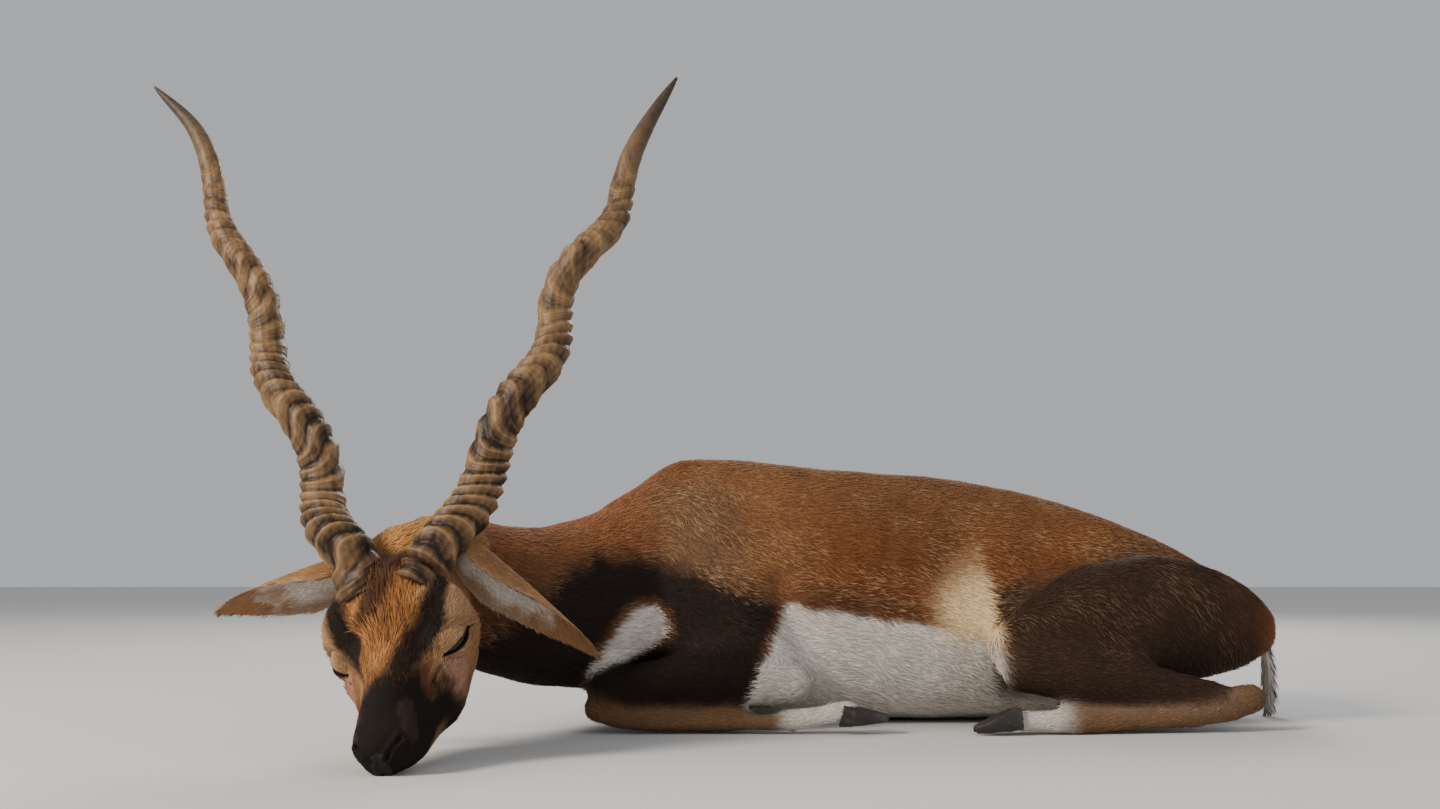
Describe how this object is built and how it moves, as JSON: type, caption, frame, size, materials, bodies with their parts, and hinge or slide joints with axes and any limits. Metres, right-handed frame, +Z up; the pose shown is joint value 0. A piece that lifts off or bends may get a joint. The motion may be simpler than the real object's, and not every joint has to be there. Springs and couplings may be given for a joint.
{
  "type": "blackbuck antelope",
  "caption": "Life-size still model of a male blackbuck lying on its chest, muzzle to the ground, long ringed spiral horns upright and legs folded along its flanks.",
  "frame": {"origin": "middle of the base of the bounding box, on the ground the animal lies on", "axes": "+Z up; the body lies along X with the rump towards +X and the neck bent so that the head points to -Y; the animal's left side faces -Y"},
  "size_m": [1.2, 0.6402, 0.659],
  "materials": {
    "brown_coat": "matt short hair, brown",
    "dark_coat": "matt short hair, blackish brown",
    "tan_coat": "matt short hair, tan",
    "white_coat": "matt short hair, white",
    "horn": "satin horn, ringed, dark grooves",
    "hoof": "satin horn, nearly black",
    "eye": "polished, dark brown"
  },
  "bodies": {
    "root": {"head": "tan_coat", "eye_left": "eye", "horn_left": "horn", "ear_left": "tan_coat", "eye_right": "eye", "horn_right": "horn", "ear_right": "tan_coat", "neck": "brown_coat", "fore_upper_left": "dark_coat", "fore_arm_left": "dark_coat", "fore_cannon_left": "tan_coat", "fore_pastern_left": "white_coat", "hind_thigh_left": "brown_coat", "hind_shank_left": "brown_coat", "hind_cannon_left": "tan_coat", "hind_pastern_left": "white_coat", "fore_hoof_outer_left": "hoof", "fore_hoof_inner_left": "hoof", "hind_hoof_outer_left": "hoof", "hind_hoof_inner_left": "hoof", "fore_upper_right": "dark_coat", "fore_arm_right": "dark_coat", "fore_cannon_right": "tan_coat", "fore_pastern_right": "white_coat", "hind_thigh_right": "brown_coat", "hind_shank_right": "brown_coat", "hind_cannon_right": "tan_coat", "hind_pastern_right": "white_coat", "fore_hoof_outer_right": "hoof", "fore_hoof_inner_right": "hoof", "hind_hoof_outer_right": "hoof", "hind_hoof_inner_right": "hoof", "tail": "brown_coat", "torso": "brown_coat"}
  },
  "joints": []
}
